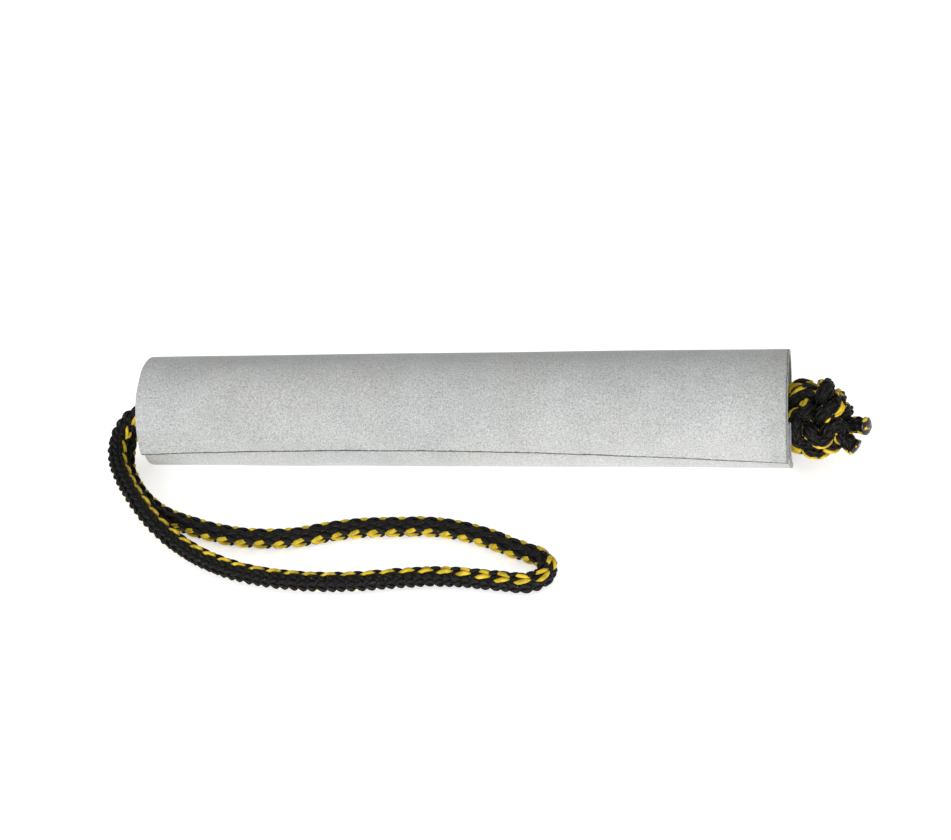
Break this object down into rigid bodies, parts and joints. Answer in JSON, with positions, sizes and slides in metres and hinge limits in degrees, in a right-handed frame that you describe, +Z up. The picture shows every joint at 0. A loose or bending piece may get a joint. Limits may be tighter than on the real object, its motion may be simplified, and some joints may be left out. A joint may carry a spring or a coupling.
{
  "type": "training bumper",
  "caption": "Retrieving bumper: a suede-wrapped foam roll with a knotted rope through its core that makes a long hand loop.",
  "frame": {"origin": "on the floor plane, under the middle of the roll", "axes": "+X along the roll from the hand loop's end to the knot's end, +Z up, -Y towards the hand loop"},
  "size_m": [0.3552, 0.1316, 0.0536],
  "materials": {
    "suede": "pale grey suede, matt, with a fine nap",
    "foam": "closed-cell foam, matt",
    "rope": "knitted black rope with two yellow rows of stitches",
    "melted_rope": "melted and set rope fibre"
  },
  "bodies": {
    "roll": {"leather_cover": "suede", "foam_core": "foam", "loop_end_disc": "suede", "knot_end_disc": "suede"},
    "rope": {"hand_loop": "rope", "core_strand_upper": "rope", "core_strand_lower": "rope", "stopper_knot": "rope", "rope_tail_upper": "rope", "rope_tail_lower": "rope", "tail_seal_upper": "melted_rope", "tail_seal_lower": "melted_rope"}
  },
  "joints": [
    {"name": "rope_slide", "type": "slide", "parent": "roll", "child": "rope", "axis": [1, 0, 0], "range_m": [0, 0.004]}
  ]
}
